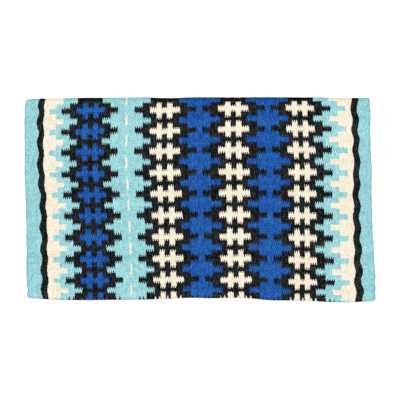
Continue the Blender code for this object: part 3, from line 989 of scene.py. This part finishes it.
cord_places, cord_faces = cords()
cord_mesh = bpy.data.meshes.new("warp_cords")
cord_mesh.from_pydata(cord_places.tolist(), [], cord_faces)
cord_mesh.shade_smooth()
warp = bpy.data.objects.new("warp_cords", cord_mesh)
collection.objects.link(warp)
print(RIBS, "cords,", len(cord_faces), "faces")

# %% [markdown]
# The cords are undyed. Their wool is smoother and harder spun than the wefts, so it gets a plainer
# material of its own, with a soft mottle between two tints.

# %% Cord wool
cord_wool = bpy.data.materials.new("cord_wool")
cord_wool.use_nodes = True
cord_nodes, cord_links = cord_wool.node_tree.nodes, cord_wool.node_tree.links
cord_shader = cord_nodes["Principled BSDF"]
cord_shader.inputs["Roughness"].default_value = 0.85
cord_noise = cord_nodes.new("ShaderNodeTexNoise")
cord_noise.inputs["Scale"].default_value = 300
cord_ramp = cord_nodes.new("ShaderNodeValToRGB")
cord_ramp.color_ramp.elements[0].color = (0.45, 0.38, 0.27, 1)
cord_ramp.color_ramp.elements[1].color = (0.75, 0.67, 0.52, 1)
cord_where = cord_nodes.new("ShaderNodeTexCoord")
cord_links.new(cord_where.outputs["Object"], cord_noise.inputs["Vector"])
cord_links.new(cord_noise.outputs["Fac"], cord_ramp.inputs["Fac"])
cord_links.new(cord_ramp.outputs["Color"], cord_shader.inputs["Base Color"])
cord_mesh.materials.append(cord_wool)
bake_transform(warp)
print("cords carry", len(woven), "pieces of weft")

# %% [markdown]
# ## Floor and light
#
# The photo was taken on a white sweep, in even light with no shadow to speak of. The floor is white, and it
# glows a little, to the camera and in reflections only, so that it turns pure white while the shadow under
# the edge stays. The light comes from a sky that is brightest overhead and one large soft lamp, just enough
# to show the weave. With so little light from the sides, the rounded hems and the fold end in a thin
# darker line, which painted shade on the wool deepens.

# %% Floor
FLOOR_HALF = 6
FLOOR_DROP = 0.0006
FLOOR_GLOW = 0.5

floor_mesh = bpy.data.meshes.new("floor")
floor_corners = [(x * FLOOR_HALF, y * FLOOR_HALF, 0) for x, y in ((-1, -1), (1, -1), (1, 1), (-1, 1))]
floor_mesh.from_pydata(floor_corners, [], [(0, 1, 2, 3)])
floor = bpy.data.objects.new("floor", floor_mesh)
bpy.context.scene.collection.objects.link(floor)
floor.location.z = -FLOOR_DROP
floor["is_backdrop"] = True
floor_paint = bpy.data.materials.new("white_sweep")
floor_paint.use_nodes = True
floor_tree = floor_paint.node_tree
floor_shader = floor_tree.nodes["Principled BSDF"]
floor_shader.inputs["Base Color"].default_value = (0.9, 0.9, 0.9, 1)
floor_shader.inputs["Roughness"].default_value = 0.9
floor_shader.inputs["Specular IOR Level"].default_value = 0
rays = floor_tree.nodes.new("ShaderNodeLightPath").outputs
seen = math_node(floor_tree, "MAXIMUM", rays["Is Camera Ray"], rays["Is Glossy Ray"])
glow = math_node(floor_tree, "MULTIPLY", seen, FLOOR_GLOW)
floor_shader.inputs["Emission Color"].default_value = (1, 1, 1, 1)
floor_tree.links.new(glow, floor_shader.inputs["Emission Strength"])
floor_mesh.materials.append(floor_paint)
print("floor at", round(floor.location.z, 4), "m")

# %% Sky and lamp
SKY_SIDES, SKY_OVERHEAD, SKY_STEEPNESS = 0.10, 1.14, 2
LAMP_POWER = 812

world = bpy.data.worlds.new("studio")
bpy.context.scene.world = world
world.use_nodes = True
sky_tree = world.node_tree
sky_nodes, sky_links = sky_tree.nodes, sky_tree.links
sky = sky_nodes["Background"]
sky.inputs["Color"].default_value = (1, 1, 1, 1)
sky_rays = sky_nodes.new("ShaderNodeLightPath")
sky_place = sky_nodes.new("ShaderNodeTexCoord")
sky_up = sky_nodes.new("ShaderNodeSeparateXYZ")
sky_links.new(sky_place.outputs["Generated"], sky_up.inputs["Vector"])
sky_steep = math_node(sky_tree, "POWER", sky_up.outputs["Z"], SKY_STEEPNESS)
sky_steep.node.use_clamp = True
sky_fade = sky_nodes.new("ShaderNodeMapRange")
sky_fade.inputs["To Min"].default_value = SKY_SIDES
sky_fade.inputs["To Max"].default_value = SKY_OVERHEAD
sky_links.new(sky_steep, sky_fade.inputs["Value"])
sky_seen = sky_rays.outputs["Is Camera Ray"]
sky_strength = math_node(sky_tree, "MAXIMUM", sky_fade.outputs["Result"], sky_seen)
sky_links.new(sky_strength, sky.inputs["Strength"])

lamp_data = bpy.data.lights.new("softbox", "AREA")
lamp_data.shape = "RECTANGLE"
lamp_data.size, lamp_data.size_y = 9.6, 6.4
lamp_data.energy = LAMP_POWER
lamp = bpy.data.objects.new("softbox", lamp_data)
bpy.context.scene.collection.objects.link(lamp)
lamp.location = (-0.6, 3.2, 12)
lamp.rotation_euler = (Vector((0, 0, 0)) - lamp.location).to_track_quat("-Z", "Y").to_euler()
bpy.context.scene.view_settings.view_transform = "Standard"
print("lamp:", lamp_data.energy, "W")

# %% [markdown]
#
# The dressed blanket has to keep the imported model's size, apart from the little that wool stands proud and
# its edges stray. Both boxes are printed.

# %% Write the sizes and finish
low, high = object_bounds()
for title, sides in (("visual box:", high - low), ("CAD box:", cad_high - cad_low)):
    print(title, [round(side, 4) for side in sides])
